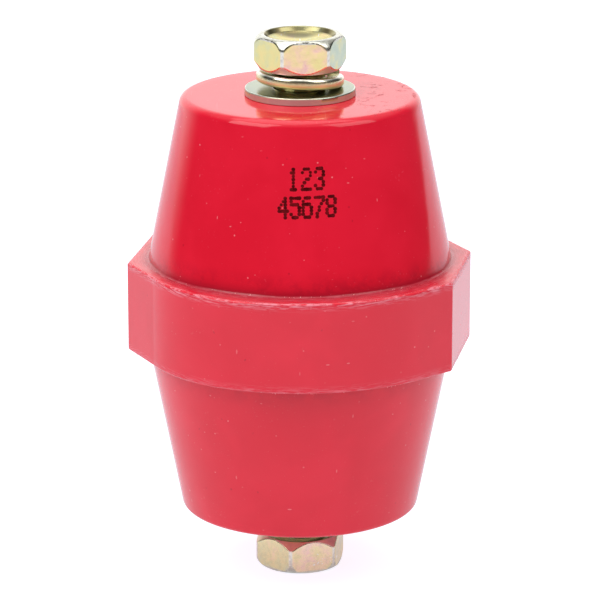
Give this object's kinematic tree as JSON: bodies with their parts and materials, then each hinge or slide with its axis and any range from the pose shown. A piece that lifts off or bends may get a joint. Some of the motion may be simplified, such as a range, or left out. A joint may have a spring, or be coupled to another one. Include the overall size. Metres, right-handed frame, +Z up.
{
  "type": "standoff insulator",
  "caption": "Red moulded double-cone stand-off insulator with a gripping collar and a hexagon bolt with spring and flat washers at each end.",
  "frame": {"origin": "on the insulator's axis, at the level of the lower bolt head's end rim, which is what the part stands on", "axes": "+Z up along the bolts' common axis, -Y towards the front, +X to the right; the collar's long flats face right and left"},
  "size_m": [0.0486, 0.0488, 0.0778],
  "materials": {
    "moulding": "glossy glass-filled polyester moulding, red right through",
    "brass": "turned brass, dull",
    "plated_steel": "yellow-passivated zinc plate, iridescent"
  },
  "bodies": {
    "insulator": {"insulator_body": "moulding", "upper_insert": "brass", "lower_insert": "brass"},
    "upper_spring_washer": {"upper_spring_washer": "plated_steel"},
    "upper_bolt": {"upper_bolt": "plated_steel"},
    "upper_flat_washer": {"upper_flat_washer": "plated_steel"},
    "lower_spring_washer": {"lower_spring_washer": "plated_steel"},
    "lower_bolt": {"lower_bolt": "plated_steel"},
    "lower_flat_washer": {"lower_flat_washer": "plated_steel"}
  },
  "joints": [
    {"name": "upper_bolt_travel", "type": "slide", "parent": "insulator", "child": "upper_spring_washer", "axis": [0, 0, 1], "range_m": [0, 0.01]},
    {"name": "upper_bolt_turn", "type": "hinge", "parent": "upper_spring_washer", "child": "upper_bolt", "pos_m": [0, 0, 0.0692], "axis": [0, 0, 1], "range_deg": [0, 2881]},
    {"name": "upper_flat_washer_spin", "type": "hinge", "parent": "upper_spring_washer", "child": "upper_flat_washer", "pos_m": [0, 0, 0.0692], "axis": [0, 0, 1], "continuous": true},
    {"name": "lower_bolt_travel", "type": "slide", "parent": "insulator", "child": "lower_spring_washer", "axis": [0, 0, -1], "range_m": [0, 0.01]},
    {"name": "lower_bolt_turn", "type": "hinge", "parent": "lower_spring_washer", "child": "lower_bolt", "pos_m": [0, 0, 0.0092], "axis": [0, 0, -1], "range_deg": [0, 2881]},
    {"name": "lower_flat_washer_spin", "type": "hinge", "parent": "lower_spring_washer", "child": "lower_flat_washer", "pos_m": [0, 0, 0.0092], "axis": [0, 0, -1], "continuous": true}
  ],
  "couplings": [
    {"joint": "upper_bolt_turn", "follows": "upper_bolt_travel", "rad_per_m": 5026.5},
    {"joint": "lower_bolt_turn", "follows": "lower_bolt_travel", "rad_per_m": 5026.5}
  ]
}
